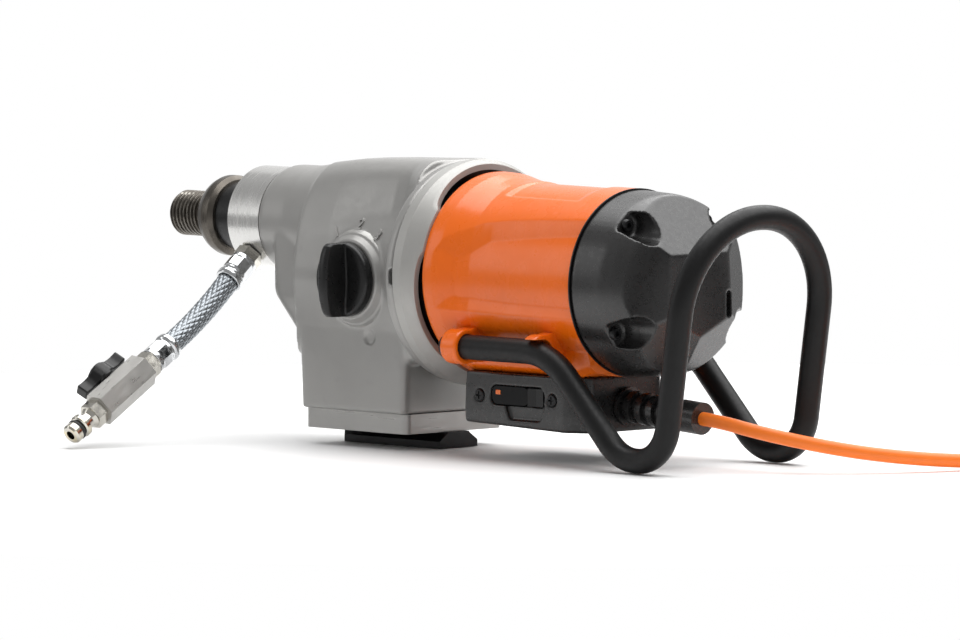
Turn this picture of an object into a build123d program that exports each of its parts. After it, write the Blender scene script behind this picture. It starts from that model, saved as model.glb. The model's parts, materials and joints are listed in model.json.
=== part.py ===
from build123d import *
import os
from math import acos, cos, pi, radians, sin, tan

# Core drill motor unit with quick-mount foot, three-speed gearbox, hand loop and water hose.
# Millimetres. +Z is up, the drill spindle points along -X and the selector knob faces -Y.
# The origin is the middle of the foot plate's lower face, which lies on Z = 0.

os.makedirs("parts", exist_ok=True)

# ---- driving dimensions ----------------------------------------------------------------
spindle_z = 149.75          # height of the drill spindle's axis
motor_z = 121.5             # height of the motor's axis
lay_z = 96.5                # height of the lay shaft's axis
plate_x = 50.0              # half length of the dovetail foot plate
plate_y = 18.0              # half width of the foot plate
plate_top = 11.0            # thickness of the foot plate
foot_top = 24.5             # top of the machined foot block
foot_x = (-55.0, 46.0)
foot_y = 46.0
screw_x = (-36.0, 36.0)     # screws that hold the foot plate
body_x = (-62.0, 58.0)      # length of the gear case's main body
flange_x = (55.5, 65.0)     # rear flange of the gear case
flange_r = 76.0
nose_r = 38.0               # bearing nose of the gear case
nose_x = -113.0
collar_r = 36.3             # water collar in front of the nose
collar_x = -145.0
knob_z = 116.0              # height of the speed selector's axis
ring_x = (65.0, 86.0)       # bearing flange between gear case and motor
shell_x = (86.0, 223.0)     # motor shell
shell_r = 64.0
cap_x = 284.0               # rear end of the motor cap
box_x = (103.0, 214.0)      # switch box below the motor
box_y = 46.0
box_top = 58.5
grip_y = 66.0               # the hand loop's two legs stand this far from the middle
grip_r = 8.45               # radius of the hand loop's tube
thread_major = 15.875       # 1 1/4 inch thread
thread_pitch = 25.4 / 7
hose_x = -129.0             # plane in which the water hose hangs
hose_r = 7.75
cable_r = 4.7

along_x = (1, 0, 0)
spindle_axis = (0, 0, spindle_z)
motor_axis = (0, 0, motor_z)
lay_axis = (0, 0, lay_z)


# ---- helpers, each working in the part that is open ------------------------------------
def turn(points, origin, direction=along_x, mode=Mode.ADD):
    """Revolve (distance along the axis, radius) points about the axis through origin."""
    axis_vector = Vector(*direction)
    side = Vector(0, 1, 0) if abs(axis_vector.normalized().Y) < 0.9 else Vector(1, 0, 0)
    plane = Plane(origin=origin, x_dir=axis_vector, z_dir=axis_vector.cross(side))
    with BuildSketch(plane) as profile:
        with BuildLine():
            Polyline(*points, close=True)
        make_face()
    revolve(profile.sketch, axis=Axis(origin, direction), mode=mode)


def drum(start, end, radius, origin, direction=along_x, bore=0.0, mode=Mode.ADD):
    """A plain disc, rod or ring from start to end along an axis."""
    turn([(start, bore), (start, radius), (end, radius), (end, bore)], origin, direction, mode)


def block(x, y, z, mode=Mode.ADD):
    """A box given by its two limits on each axis."""
    middle = ((x[0] + x[1]) / 2, (y[0] + y[1]) / 2, (z[0] + z[1]) / 2)
    with Locations(middle):
        Box(x[1] - x[0], y[1] - y[0], z[1] - z[0], mode=mode)


def side_plate(points, y, mode=Mode.ADD):
    """An outline of (x, z) points, extruded from y[0] to y[1]."""
    with BuildSketch(Plane.XZ.offset(-y[0])) as outline:
        with BuildLine():
            Polyline(*points, close=True)
        make_face()
    extrude(outline.sketch, amount=-(y[1] - y[0]), mode=mode)


def end_plate(points, x, mode=Mode.ADD):
    """An outline of (y, z) points, extruded from x[0] to x[1]."""
    with BuildSketch(Plane.YZ.offset(x[0])) as outline:
        with BuildLine():
            Polyline(*points, close=True)
        make_face()
    extrude(outline.sketch, amount=x[1] - x[0], mode=mode)


def hex_bar(start, end, corner_r, origin, direction, spin=0.0, mode=Mode.ADD):
    """A hexagonal bar along an axis, with one flat's normal in the axis' vertical plane."""
    axis_vector = Vector(*direction).normalized()
    foot = Vector(*origin) + axis_vector * start
    sideways = Vector(0, 0, 1).cross(axis_vector) if abs(axis_vector.Z) < 0.95 else Vector(1, 0, 0)
    plane = Plane(origin=foot, x_dir=sideways, z_dir=axis_vector)
    with BuildSketch(plane) as outline:
        RegularPolygon(corner_r, 6, rotation=spin)
    extrude(outline.sketch, amount=end - start, mode=mode)


def bearing(x, outer, inner, origin, balls=9):
    """A ball bearing: two races and loose balls between them."""
    race = (outer - inner) * 0.3
    drum(x[0], x[1], outer, origin, bore=outer - race)
    drum(x[0], x[1], inner + race, origin, bore=inner + 0.03)
    middle = (outer + inner) / 2
    ball_r = (outer - inner) / 2 - race - 0.05
    for number in range(balls):
        angle = 2 * pi * number / balls
        with Locations(((x[0] + x[1]) / 2, middle * cos(angle), origin[2] + middle * sin(angle))):
            Sphere(ball_r)


def involute(angle):
    return tan(angle) - angle


def gear(module, teeth, x, height, bore, gap_up=False, pressure=20.0, addendum=1.0):
    """A spur gear about an axis along X, with a tooth downwards, or a gap upwards."""
    pitch_r = module * teeth / 2
    base_r = pitch_r * cos(radians(pressure))
    tip_r = pitch_r + addendum * module
    root_r = pitch_r - 1.25 * module
    side_play = 0.05
    half_pitch = pi / (2 * teeth) - side_play / pitch_r
    radii = [root_r, max(base_r, root_r + 0.02), pitch_r, (pitch_r + tip_r) / 2, tip_r]
    spread = []
    for radius in radii:
        shown = max(radius, base_r)
        spread.append(half_pitch + involute(radians(pressure)) - involute(acos(base_r / shown)))
    first = pi / 2 + pi / teeth if gap_up else -pi / 2
    points = []
    for tooth in range(teeth):
        middle = first + 2 * pi * tooth / teeth
        for radius, half in zip(radii, spread):
            points.append((radius * cos(middle - half), height + radius * sin(middle - half)))
        for radius, half in zip(reversed(radii), reversed(spread)):
            points.append((radius * cos(middle + half), height + radius * sin(middle + half)))
    end_plate(points, x)
    drum(x[0] - 1, x[1] + 1, bore, (0, 0, height), mode=Mode.SUBTRACT)


def gentle_radii(route):
    """A radius for each corner of a route, so that its arc uses 45% of the shorter run."""
    radii = []
    for before, here, after in zip(route, route[1:], route[2:]):
        run_in = Vector(*here) - Vector(*before)
        run_out = Vector(*after) - Vector(*here)
        half_turn = radians(run_in.get_angle(run_out)) / 2
        radii.append(0.45 * min(run_in.length, run_out.length) / tan(half_turn))
    return radii


def socket_screw(origin, direction, head_r, head, shank_r, shank):
    """A cap screw whose head starts at origin and whose shank follows direction."""
    turn([(0, 0), (0, head_r), (head, head_r), (head, shank_r), (shank, shank_r), (shank, 0)],
         origin, direction)
    hex_bar(-1, head * 0.6, head_r * 0.55, origin, direction, mode=Mode.SUBTRACT)


def save(part, name):
    part.label = name
    export_step(part, f"parts/{name}.step")


# ---- foot plate, its screws and the foot block -----------------------------------------
plate_step = 4.8
plate_neck_y = 10.3
screw_head_r = 6.0
screw_r = 2.95

with BuildPart() as mount_plate:
    end_plate([(-plate_y, 0), (plate_y, 0), (plate_y, plate_step), (plate_neck_y, 10.3),
               (plate_neck_y, plate_top), (-plate_neck_y, plate_top), (-plate_neck_y, 10.3),
               (-plate_y, plate_step)], (-plate_x, plate_x))
    front_face = mount_plate.faces().sort_by(Axis.X)[0]
    chamfer(front_face.edges().filter_by(Axis.Z).group_by(Axis.Z)[0], 5)
    for x in screw_x:
        turn([(-1, 0), (-1, screw_head_r + 0.2), (0.3, screw_head_r + 0.2), (3.5, screw_r + 0.1),
              (12, screw_r + 0.1), (12, 0)], (x, 0, 0), (0, 0, 1), Mode.SUBTRACT)
save(mount_plate.part, "mount_plate")

with BuildPart() as plate_screws:
    for x in screw_x:
        turn([(0.4, 0), (0.4, screw_head_r), (3.5, screw_r), (30, screw_r), (30, 0)],
             (x, 0, 0), (0, 0, 1))
        hex_bar(0, 2.2, 2.4, (x, 0, 0), (0, 0, 1), mode=Mode.SUBTRACT)
save(plate_screws.part, "plate_screws")

with BuildPart() as foot_block:
    block(foot_x, (-foot_y, foot_y), (plate_top, foot_top))
    fillet(foot_block.edges().filter_by(Axis.Z), 5)
    for x in screw_x:
        drum(0, 40, screw_r + 0.1, (x, 0, 0), (0, 0, 1), mode=Mode.SUBTRACT)
save(foot_block.part, "foot_block")

# ---- gear case ---------------------------------------------------------------------------
gear_space_r = 39.2
space_y = 42.5
selector_dir = (0, -1, 0)
selector_origin = (0, 0, knob_z)
boss_end = 57.0
shaft_r = 8.0
crank_r = 29.5
rail_y = -40.0
rail_z = 126.0
front_race_r = 31.0
lay_race_r = 11.0
bolt_spots = [(43.1, 164.6), (-43.1, 164.6), (30.5, 68.7), (-30.5, 68.7)]

half_section = [(46.5, 62), (48, 85), (53.5, 117), (48, 148), (38, 172), (20, 192.5)]
case_section = [(-y, z) for y, z in half_section] + [(y, z) for y, z in reversed(half_section)]

with BuildPart() as gear_housing:
    end_plate(case_section, body_x)
    side_plate([(-57, foot_top), (46, foot_top), (46, 100), (-60, 100), (-60, 79)], (-48.5, 48.5))
    side_plate([(-97, 101), (-58, 68), (-50, 68), (-50, 149), (-97, 149)], (-nose_r, nose_r))
    turn([(nose_x, 0), (nose_x, 36), (-111, nose_r), (-84, nose_r), (-62, 46), (-62, 0)],
         spindle_axis)
    drum(flange_x[0], flange_x[1], flange_r, motor_axis)
    turn([(44, 0), (44, 31), (50, 31), (boss_end, 27), (boss_end, 0)],
         selector_origin, selector_dir)
    drum(-50, flange_x[1], gear_space_r, spindle_axis, mode=Mode.SUBTRACT)
    block((-50, flange_x[1]), (-space_y, space_y), (74, 152), Mode.SUBTRACT)
    block((-50, 40), (-space_y, space_y), (36, 80), Mode.SUBTRACT)
    drum(nose_x, -50, front_race_r + 0.05, spindle_axis, mode=Mode.SUBTRACT)
    drum(-60, -50, lay_race_r + 0.05, lay_axis, mode=Mode.SUBTRACT)
    drum(space_y, 46, crank_r + 0.5, selector_origin, selector_dir, mode=Mode.SUBTRACT)
    drum(46, boss_end, shaft_r + 0.08, selector_origin, selector_dir, mode=Mode.SUBTRACT)
    drum(-56, -50, 2.05, (0, rail_y, rail_z), mode=Mode.SUBTRACT)
    for x in screw_x:
        drum(foot_top, 31, screw_r + 0.05, (x, 0, 0), (0, 0, 1), mode=Mode.SUBTRACT)
    for y, z in bolt_spots:
        drum(50, flange_x[1], 2.55, (0, y, z), mode=Mode.SUBTRACT)
save(gear_housing.part, "gear_housing")

# ---- bearing flange between gear case and motor ----------------------------------------
web_end = 72.0
motor_race_r = 13.0
rear_race_r = 14.0

with BuildPart() as bearing_flange:
    turn([(ring_x[0], 0), (ring_x[0], 77.5), (74, 77.5), (ring_x[1], 72), (ring_x[1], 66),
          (web_end, 66), (web_end, 0)], motor_axis)
    drum(ring_x[0], web_end, motor_race_r + 0.05, motor_axis, mode=Mode.SUBTRACT)
    drum(ring_x[0], web_end, rear_race_r + 0.05, spindle_axis, mode=Mode.SUBTRACT)
    drum(ring_x[0], web_end, lay_race_r + 0.05, lay_axis, mode=Mode.SUBTRACT)
    drum(ring_x[0], 68, 2.05, (0, rail_y, rail_z), mode=Mode.SUBTRACT)
    for y, z in bolt_spots:
        drum(ring_x[0], web_end, 2.55, (0, y, z), mode=Mode.SUBTRACT)
save(bearing_flange.part, "bearing_flange")

with BuildPart() as flange_bolts:
    for y, z in bolt_spots:
        socket_screw((web_end + 4.5, y, z), (-1, 0, 0), 4.3, 4.5, 2.5, 24)
save(flange_bolts.part, "flange_bolts")

# ---- water collar and its seals --------------------------------------------------------
hub_r = 22.0
chamber_r = 28.0
nipple_dir = (0, -cos(radians(40)), -sin(radians(40)))
collar_centre = (hose_x, 0, spindle_z)

with BuildPart() as water_collar:
    turn([(collar_x, hub_r + 0.6), (collar_x, 35.3), (-144, collar_r), (nose_x, collar_r),
          (nose_x, hub_r + 0.6), (-115, hub_r + 0.6), (-115, chamber_r), (-139, chamber_r),
          (-139, hub_r + 0.6)], spindle_axis)
    drum(26, 40, 4.1, collar_centre, nipple_dir, mode=Mode.SUBTRACT)
save(water_collar.part, "water_collar")

with BuildPart() as collar_seals:
    for x in (-139, -121):
        drum(x, x + 6, chamber_r - 0.02, spindle_axis, bore=hub_r + 0.05)
save(collar_seals.part, "collar_seals")

with BuildPart() as wiper_seal:
    turn([(-152, hub_r + 0.1), (-152, 29.5), (-150.5, 31), (collar_x, 31),
          (collar_x, hub_r + 0.1)], spindle_axis)
save(wiper_seal.part, "wiper_seal")

# ---- spindle ---------------------------------------------------------------------------
thread_start = -226.0
thread_turns = 8
root_r = thread_major - 1.9
seat_r = 20.0
gear_seat_r = 12.0

thread_points = [(-228, 0), (-228, root_r)]
for crest in range(thread_turns):
    x = thread_start + crest * thread_pitch
    thread_points += [(x, root_r), (x + 1.4, thread_major), (x + 1.9, thread_major),
                      (x + 3.3, root_r)]

with BuildPart() as spindle:
    turn(thread_points + [(-196.9, root_r), (-196.9, 16), (-192, 20), (-190, 22), (-188, 24),
                          (-184, 26.8), (-180, 28.2), (-174, 28.2), (-171, 25.4), (-171, hub_r),
                          (-108, hub_r), (-108, seat_r), (-66, seat_r), (-66, gear_seat_r),
                          (63, gear_seat_r), (63, 7), (web_end, 7), (web_end, 0)], spindle_axis)
    drum(-228, -120, 6, spindle_axis, mode=Mode.SUBTRACT)
    for quarter in range(4):
        angle = pi / 4 + quarter * pi / 2
        drum(0, hub_r + 1, 2.5, collar_centre, (0, cos(angle), sin(angle)), mode=Mode.SUBTRACT)
    for side in (-1, 1):
        inner, outer = sorted((side * 8.6, side * 13))
        block((-21, 59), (inner, outer), (spindle_z - 1.7, spindle_z + 1.7), Mode.SUBTRACT)
save(spindle.part, "spindle")

with BuildPart() as spindle_bearings:
    for x in (-108, -84):
        bearing((x + 0.05, x + 14), front_race_r, seat_r, spindle_axis, 13)
    bearing((ring_x[0], web_end), rear_race_r, 7, spindle_axis)
save(spindle_bearings.part, "spindle_bearings")

# ---- gear pairs: high, middle and low speed --------------------------------------------
gear_module = 1.5
high_x = (-18, -10)
middle_x = (-4, 4)
low_x = (10, 18)
drive_x = (46, 56)
lay_shaft_r = 8.0

with BuildPart() as high_gear:
    gear(gear_module, 40, high_x, spindle_z, gear_seat_r + 0.06)
save(high_gear.part, "high_gear")

with BuildPart() as middle_gear:
    gear(gear_module, 45, middle_x, spindle_z, gear_seat_r + 0.06)
save(middle_gear.part, "middle_gear")

with BuildPart() as low_gear:
    gear(gear_module, 49, low_x, spindle_z, gear_seat_r + 0.06)
save(low_gear.part, "low_gear")

with BuildPart() as lay_gears:
    for teeth, x in ((31, high_x), (26, middle_x), (22, low_x)):
        gear(gear_module, teeth, x, lay_z, lay_shaft_r + 0.05, gap_up=True)
save(lay_gears.part, "lay_gears")

with BuildPart() as drive_gear:
    gear(1.0, 36, drive_x, lay_z, lay_shaft_r + 0.05, gap_up=True, pressure=25.0, addendum=0.9)
save(drive_gear.part, "drive_gear")

with BuildPart() as lay_shaft:
    turn([(-60, 0), (-60, 5), (-50, 5), (-50, lay_shaft_r), (62, lay_shaft_r), (62, 5),
          (web_end, 5), (web_end, 0)], lay_axis)
save(lay_shaft.part, "lay_shaft")

with BuildPart() as lay_bearings:
    bearing((-59, -51), lay_race_r, 5, lay_axis, 7)
    bearing((ring_x[0], web_end), lay_race_r, 5, lay_axis, 7)
save(lay_bearings.part, "lay_bearings")

# ---- speed selector: knob, crank, fork, rail and sliding key ---------------------------
crank_pin_r = 3.0
crank_throw = 25.0
key_collar_x = (37.0, 47.0)

with BuildPart() as shift_key:
    turn([(key_collar_x[0], 12.3), (key_collar_x[0], 19), (40.6, 19), (40.6, 15.5), (43.4, 15.5),
          (43.4, 19), (key_collar_x[1], 19), (key_collar_x[1], 12.3)], spindle_axis)
    for side in (-1, 1):
        inner, outer = sorted((side * 8.9, side * 11.8))
        block((-4, 44), (inner, outer), (spindle_z - 1.5, spindle_z + 1.5))
        inner, outer = sorted((side * 11, side * 14))
        block((39, 40.5), (inner, outer), (spindle_z - 1.5, spindle_z + 1.5))
save(shift_key.part, "shift_key")

with BuildPart() as shift_fork:
    block((-8, 8), (-42.2, -38.8), (130, 148))
    block((8, 44), (-42.2, -38.8), (137, 146))
    block((-8, 8), (-42.2, -37.8), (122.5, 130.2))
    block((41, 43), (-42.2, -20), (137, 146))
    drum(41, 43, 24, spindle_axis, bore=15.8)
    block((40.9, 43.1), (2, 30), (120, 180), Mode.SUBTRACT)
    block((40.9, 43.1), (-9, 30), (120, 131.5), Mode.SUBTRACT)
    drum(-9, 9, 2.06, (0, rail_y, rail_z), mode=Mode.SUBTRACT)
    block((-3.4, 3.4), (-43, -38), (133.2, 144.8), Mode.SUBTRACT)
save(shift_fork.part, "shift_fork")

with BuildPart() as fork_rail:
    drum(-56, 68, 2.0, (0, rail_y, rail_z))
save(fork_rail.part, "fork_rail")

with BuildPart() as selector_shaft:
    drum(45.8, boss_end + 0.5, shaft_r, selector_origin, selector_dir)
    drum(42.7, 45.8, crank_r, selector_origin, selector_dir)
    drum(38.9, 42.7, crank_pin_r, (0, 0, knob_z + crank_throw), selector_dir)
save(selector_shaft.part, "selector_shaft")

knob_r = 25.6
bar_half = 4.5
with BuildPart() as selector_knob:
    turn([(boss_end + 0.5, 0), (boss_end + 0.5, knob_r), (63, knob_r), (64, knob_r - 1), (64, 0)],
         selector_origin, selector_dir)
    with BuildSketch(Plane.YZ.offset(-bar_half)) as bar:
        with BuildLine():
            Line((-63.5, knob_z - 25), (-63.5, knob_z + 25))
            Line((-63.5, knob_z + 25), (-75, knob_z + 24.5))
            ThreePointArc((-75, knob_z + 24.5), (-83, knob_z), (-75, knob_z - 24.5))
            Line((-75, knob_z - 24.5), (-63.5, knob_z - 25))
        make_face()
    extrude(amount=2 * bar_half)
save(selector_knob.part, "selector_knob")

# ---- motor: shell, air guide, stator, rotor --------------------------------------------
shell_wall_r = 60.0
grip_z = 76.5
clip_x = (112.0, 127.0)
tab_x = (190.0, 201.0)
stack_x = (125.0, 185.0)

with BuildPart() as motor_housing:
    turn([(shell_x[0], 0), (shell_x[0], 70), (108, 69), (130, 64.6), (shell_x[1], shell_r),
          (shell_x[1], 0)], motor_axis)
    block((96, shell_x[1]), (-box_y, box_y), (box_top, 100))
    for side in (-1, 1):
        for x in (clip_x, tab_x):
            drum(x[0], x[1], 12, (0, side * grip_y, grip_z))
            inner, outer = sorted((side * 44, side * grip_y))
            block(x, (inner, outer), (grip_z - 9, grip_z + 9))
    drum(shell_x[0], 106, 66.5, motor_axis, mode=Mode.SUBTRACT)
    drum(106, shell_x[1], shell_wall_r, motor_axis, mode=Mode.SUBTRACT)
    for side in (-1, 1):
        drum(114, 210, grip_r + 0.1, (0, side * grip_y, grip_z), mode=Mode.SUBTRACT)
        inner, outer = sorted((side * (grip_y - grip_r - 0.1), side * (grip_y + 13)))
        block((tab_x[0] - 10, tab_x[1] + 1), (inner, outer), (grip_z - 13, grip_z), Mode.SUBTRACT)
        inner, outer = sorted((side * 40, side * 75))
        block((shell_x[0] - 1, 92), (inner, outer), (75, 131), Mode.SUBTRACT)
    block((shell_x[0] - 1, 94), (-43, 43), (150, 200), Mode.SUBTRACT)
    block((box_x[0], shell_x[1]), (-box_y, box_y), (40, box_top), Mode.SUBTRACT)
    block((140, 200), (-24, 24), (55, 70), Mode.SUBTRACT)
save(motor_housing.part, "motor_housing")

with BuildPart() as air_guide:
    drum(78, 102, 65.8, motor_axis, bore=58)
save(air_guide.part, "air_guide")

with BuildPart() as stator:
    drum(stack_x[0], stack_x[1], shell_wall_r - 0.4, motor_axis, bore=33)
    for corner in range(4):
        angle = pi / 4 + corner * pi / 2
        drum(stack_x[0] - 1, stack_x[1] + 1, 4,
             (0, 44 * cos(angle), motor_z + 44 * sin(angle)), mode=Mode.SUBTRACT)
save(stator.part, "stator")

with BuildPart() as field_coils:
    for x in ((112, 124.9), (185.1, 198)):
        drum(x[0], x[1], 52, motor_axis, bore=36)
save(field_coils.part, "field_coils")

rotor_r = 7.0
with BuildPart() as rotor_shaft:
    gear(1.0, 14, drive_x, motor_z, 0.01, pressure=25.0, addendum=0.9)
    turn([(44, 0), (44, 5.2), (63, 5.2), (63, 6), (73, 6), (73, rotor_r), (258, rotor_r),
          (258, 6), (269, 6), (269, 0)], motor_axis)
save(rotor_shaft.part, "rotor_shaft")

with BuildPart() as armature_core:
    drum(stack_x[0], stack_x[1], 31.5, motor_axis, bore=rotor_r + 0.03)
    for slot in range(12):
        angle = 2 * pi * slot / 12
        drum(stack_x[0] - 1, stack_x[1] + 1, 3,
             (0, 27.5 * cos(angle), motor_z + 27.5 * sin(angle)), mode=Mode.SUBTRACT)
save(armature_core.part, "armature_core")

with BuildPart() as armature_winding:
    for x in ((stack_x[0] - 11, stack_x[0] - 0.1), (stack_x[1] + 0.1, stack_x[1] + 11)):
        turn([(x[0], 12), (x[0], 22), (x[0] + 3, 29), (x[1] - 3, 29), (x[1], 22), (x[1], 12)],
             motor_axis)
save(armature_winding.part, "armature_winding")

with BuildPart() as commutator:
    drum(200, 222, 17, motor_axis, bore=rotor_r + 0.03)
    for bar in range(12):
        angle = 2 * pi * bar / 12
        drum(205, 223, 0.6, (0, 17 * cos(angle), motor_z + 17 * sin(angle)), mode=Mode.SUBTRACT)
save(commutator.part, "commutator")

with BuildPart() as cooling_fan:
    drum(88, 102, 13, motor_axis, bore=rotor_r + 0.03)
    drum(88, 91, 52, motor_axis, bore=10)
    for blade in range(11):
        angle = 360 * blade / 11
        with Locations(Location((96, 0, motor_z), (angle, 0, 0))):
            with Locations((0, 31, 0)):
                Box(11, 38, 2)
save(cooling_fan.part, "cooling_fan")

with BuildPart() as motor_bearings:
    bearing((ring_x[0], web_end), motor_race_r, 6, motor_axis, 7)
    bearing((261, 268.9), motor_race_r, 6, motor_axis, 7)
save(motor_bearings.part, "motor_bearings")

# ---- brush gear ------------------------------------------------------------------------
brush_x = (207.0, 217.0)
with BuildPart() as brushes:
    for side in (-1, 1):
        inner, outer = sorted((side * 17.6, side * 32))
        block(brush_x, (inner, outer), (motor_z - 5, motor_z + 5))
save(brushes.part, "brushes")

with BuildPart() as brush_holders:
    drum(219.5, 222.5, shell_wall_r - 0.4, motor_axis, bore=24)
    for side in (-1, 1):
        inner, outer = sorted((side * 25, side * 37))
        block((205, 220), (inner, outer), (motor_z - 7, motor_z + 7))
        inner, outer = sorted((side * 15, side * 35))
        block((206.9, 217.1), (inner, outer), (motor_z - 5.1, motor_z + 5.1), Mode.SUBTRACT)
save(brush_holders.part, "brush_holders")

# ---- rear cap and its screws -----------------------------------------------------------
cap_start = shell_x[1]
cap_screw_spots = [(-47, 154), (47, 154), (-45, 88), (45, 88)]
with BuildPart() as rear_cap:
    turn([(cap_start, 0), (cap_start, shell_r), (244, 63.5), (264, 60), (280, 50), (cap_x, 42),
          (cap_x, 0)], motor_axis)
    turn([(cap_start, 0), (cap_start, 60), (250, 59), (262, 56), (274, 47), (279, 38), (279, 17),
          (260, 17), (260, 0)], motor_axis, mode=Mode.SUBTRACT)
    turn([(260, 0), (260, motor_race_r + 0.05), (269, motor_race_r + 0.05), (269, 7.5), (275, 7.5),
          (275, 0)], motor_axis, mode=Mode.SUBTRACT)
    for y, z in cap_screw_spots:
        drum(262, cap_x, 6, (0, y, z), mode=Mode.SUBTRACT)
        drum(cap_start + 3, 262, 5.2, (0, y * 0.93, motor_z + (z - motor_z) * 0.93))
        drum(cap_start, 263, 2.3, (0, y * 0.93, motor_z + (z - motor_z) * 0.93),
             mode=Mode.SUBTRACT)
save(rear_cap.part, "rear_cap")

with BuildPart() as cap_screws:
    for y, z in cap_screw_spots:
        socket_screw((265.5, y * 0.93, motor_z + (z - motor_z) * 0.93), (-1, 0, 0),
                     4.2, 3.5, 2.2, 40)
save(cap_screws.part, "cap_screws")

# ---- hand loop -------------------------------------------------------------------------
loop_x = 341.0
loop_z = 171.0
leg = [(115, -grip_y, grip_z), (207.5, -grip_y, grip_z), (275, -grip_y, grip_r),
       (316, -grip_y, grip_r), (loop_x, -grip_y, loop_z)]
loop_points = leg + [(x, -y, z) for x, y, z in reversed(leg)]
loop_radii = [55, 36, 28, 65, 65, 28, 36, 55]

with BuildPart() as hand_loop:
    with BuildLine() as loop_path:
        FilletPolyline(*loop_points, radius=loop_radii)
    with BuildSketch(Plane(origin=leg[0], z_dir=(1, 0, 0))) as loop_section:
        Circle(grip_r)
    sweep()
save(hand_loop.part, "hand_loop")

# ---- switch box, window, rocker and board ----------------------------------------------
window_z = (36.5, 50.0)
window_x = (128.6, 181.0)
rocker_x = 173.2
rocker_y = -41.0
box_wall = 3.0
box_screw_x = (118.0, 188.2)
box_screw_z = 42.2
boot_z = 38.0

with BuildPart() as switch_box:
    side_plate([(box_x[0], box_top), (box_x[0], 23.4), (box_x[1], 20.3), (box_x[1], box_top)],
               (-box_y, box_y))
    rear_edges = switch_box.faces().sort_by(Axis.X)[-1].edges().filter_by(Axis.Z)
    chamfer(rear_edges, 13)
    block((box_x[0] + box_wall, 198), (-box_y + box_wall, box_y - box_wall),
          (23.4 + box_wall, box_top), Mode.SUBTRACT)
    block((197, box_x[1] - box_wall), (-31, 31), (23.4 + box_wall, box_top), Mode.SUBTRACT)
    block(window_x, (-box_y - 1, -box_y + box_wall + 1), window_z, Mode.SUBTRACT)
    drum(205, 216, 8.1, (0, 0, boot_z), mode=Mode.SUBTRACT)
    for side in (-1, 1):
        for x in box_screw_x:
            drum(43, 47, 4.7, (x, 0, box_screw_z), (0, side, 0), mode=Mode.SUBTRACT)
            drum(36, 45, 6.2, (x, 0, box_screw_z), (0, side, 0))
            drum(30, 47, 2.1, (x, 0, box_screw_z), (0, side, 0), mode=Mode.SUBTRACT)
            drum(45, 47, 4.7, (x, 0, box_screw_z), (0, side, 0), mode=Mode.SUBTRACT)
save(switch_box.part, "switch_box")

with BuildPart() as box_screws:
    for side in (-1, 1):
        for x in box_screw_x:
            turn([(-46.2, 0), (-46.2, 3.6), (-45.6, 4.5), (-45, 4.5), (-45, 2), (-33, 2), (-33, 0)],
                 (x, 0, box_screw_z), (0, -side, 0))
save(box_screws.part, "box_screws")

with BuildPart() as display_window:
    block((window_x[0] + 0.1, 165.0), (-45.4, -43.2), (window_z[0] + 0.1, window_z[1] - 0.1))
    block((165.0, window_x[1] - 0.1), (-36.4, -35.4), (window_z[0] + 0.1, window_z[1] - 0.1))
save(display_window.part, "display_window")

with BuildPart() as power_rocker:
    with BuildSketch(Plane.XY.offset(window_z[0] + 0.7)) as rocker_outline:
        with BuildLine():
            Polyline((rocker_x - 6.6, rocker_y + 2), (rocker_x + 6.6, rocker_y + 2),
                     (rocker_x + 6.6, rocker_y - 4.6), (rocker_x, rocker_y - 4.8),
                     (rocker_x - 6.6, rocker_y - 6.4), close=True)
        make_face()
    extrude(amount=window_z[1] - window_z[0] - 1.4)
save(power_rocker.part, "power_rocker")

with BuildPart() as control_board:
    block((126, 186), (-34.5, -33), (29, 56))
    block((132, 160), (-33, -18), (32, 50))
    for x in (166, 174):
        block((x, x + 5), (-33, -27), (34, 46))
save(control_board.part, "control_board")

# ---- cable gland, bending boot, mains cable, coil and plug -----------------------------
boot_angle = radians(3.9)
boot_dir = (cos(boot_angle), 0, -sin(boot_angle))
boot_start = (box_x[1], 0, boot_z)
boot_length = 73.0
boot_end = tuple(a + boot_length * b for a, b in zip(boot_start, boot_dir))

with BuildPart() as cable_gland:
    drum(206, box_x[1], 8, (0, 0, boot_z))
    hex_bar(206, 210.9, 13, (0, 0, boot_z), along_x)
save(cable_gland.part, "cable_gland")

boot_points = [(1.1, 0), (1.1, 13), (3.8, 13), (3.8, 8.4)]
for rib in range(4):
    start = 7.5 + 10.6 * rib
    boot_points += [(start, 8.4), (start, 11), (start + 5.2, 11), (start + 5.2, 8.2)]
boot_points += [(54, 7.4), (55, 11), (boot_length, 11), (boot_length, 0)]
with BuildPart() as cable_boot:
    turn(boot_points, boot_start, boot_dir)
save(cable_boot.part, "cable_boot")

# Route of the mains cable from the boot's mouth to the coil, with an arc at each corner.
coil_centre = (492.0, 205.0)
coil_outer = 72.0
coil_inner = 43.0
coil_height = 30.0
cable_route = [boot_end, (303.8, 0, 31.87), (334, 4, 26.5), (368, 20, 19.5), (396, 50, 12.5),
               (416, 92, 7.4), (428, 138, cable_r), (431, 186, cable_r)]

with BuildPart() as mains_cable:
    with BuildLine() as cable_path:
        FilletPolyline(*cable_route, radius=gentle_radii(cable_route))
    first_run = Vector(*cable_route[1]) - Vector(*cable_route[0])
    with BuildSketch(Plane(origin=cable_route[0], z_dir=first_run)) as cable_section:
        Circle(cable_r)
    sweep()
save(mains_cable.part, "mains_cable")

with BuildPart() as cable_coil:
    turn([(0.1, coil_inner + 4), (0.1, coil_outer - 4), (8, coil_outer), (22, coil_outer),
          (coil_height, coil_outer - 5), (coil_height, coil_inner + 5), (22, coil_inner),
          (8, coil_inner)], (coil_centre[0], coil_centre[1], 0), (0, 0, 1))
save(cable_coil.part, "cable_coil")

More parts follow.
